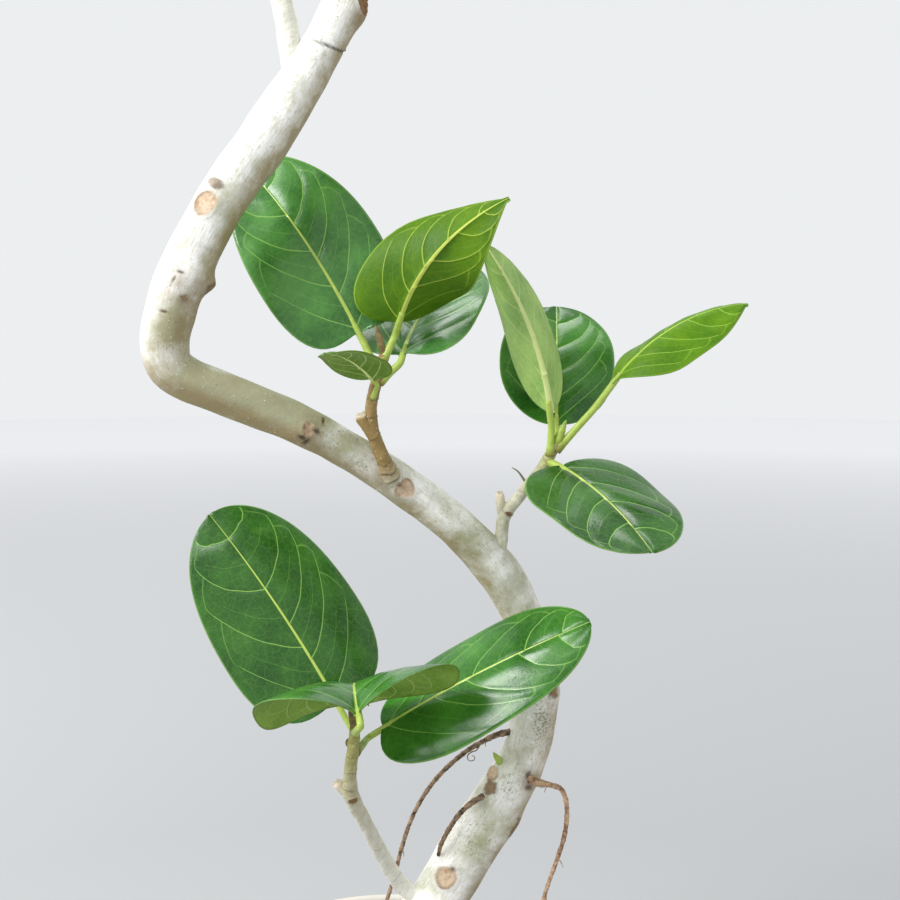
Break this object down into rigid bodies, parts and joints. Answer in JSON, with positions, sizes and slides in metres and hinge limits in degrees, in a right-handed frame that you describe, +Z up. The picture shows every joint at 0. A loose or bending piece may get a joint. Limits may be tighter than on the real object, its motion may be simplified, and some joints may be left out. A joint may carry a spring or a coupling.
{
  "type": "potted indian banyan",
  "caption": "Potted Indian banyan: a pale bare trunk trained into a bend, short twigs with big oval glossy leaves, hanging air roots, and a plain tapered pot filled with soil.",
  "frame": {"origin": "middle of the pot's underside, on the surface that the pot stands on", "axes": "+Z up along the pot's axis, -Y towards the plant's front, +X to the right of a person who stands in front of it"},
  "size_m": [0.5056, 0.2833, 1.101],
  "materials": {
    "pot_ceramic": "matt unglazed ceramic, pale warm grey",
    "soil": "loose dark potting soil",
    "trunk_bark": "smooth pale bark with fine dots",
    "twig_bark": "young green-grey bark",
    "air_root": "thin dry brown bark",
    "leaf_grown": "waxy deep green leaf with pale veins",
    "leaf_young": "tender bright green leaf with pale veins",
    "bud_sheath": "smooth yellow-green sheath"
  },
  "bodies": {
    "root": {"pot": "pot_ceramic", "soil": "soil", "trunk": "trunk_bark", "air_root_left": "air_root", "air_root_right": "air_root", "air_root_inner": "air_root", "twig_lower": "twig_bark", "twig_middle": "twig_bark", "twig_right": "twig_bark", "shoot_left": "twig_bark", "shoot_top": "twig_bark", "bud_lower": "bud_sheath", "bud_middle": "bud_sheath", "bud_right": "bud_sheath", "bud_left_shoot": "bud_sheath", "bud_top_shoot": "bud_sheath", "leaf_lower_back": "leaf_grown", "leaf_lower_front": "leaf_grown", "leaf_lower_right": "leaf_grown", "leaf_middle_back": "leaf_grown", "leaf_middle_up": "leaf_young", "leaf_middle_right": "leaf_grown", "leaf_middle_small": "leaf_grown", "leaf_right_folded": "leaf_grown", "leaf_right_back": "leaf_grown", "leaf_right_young": "leaf_young", "leaf_right_front": "leaf_grown", "leaf_shoot_left_1": "leaf_grown", "leaf_shoot_left_2": "leaf_grown", "leaf_shoot_left_3": "leaf_grown", "leaf_shoot_left_4": "leaf_grown", "leaf_shoot_left_5": "leaf_young", "leaf_shoot_top_1": "leaf_grown", "leaf_shoot_top_2": "leaf_grown", "leaf_shoot_top_3": "leaf_grown", "leaf_shoot_top_4": "leaf_grown", "leaf_shoot_top_5": "leaf_grown", "leaf_shoot_top_6": "leaf_young"}
  },
  "joints": []
}
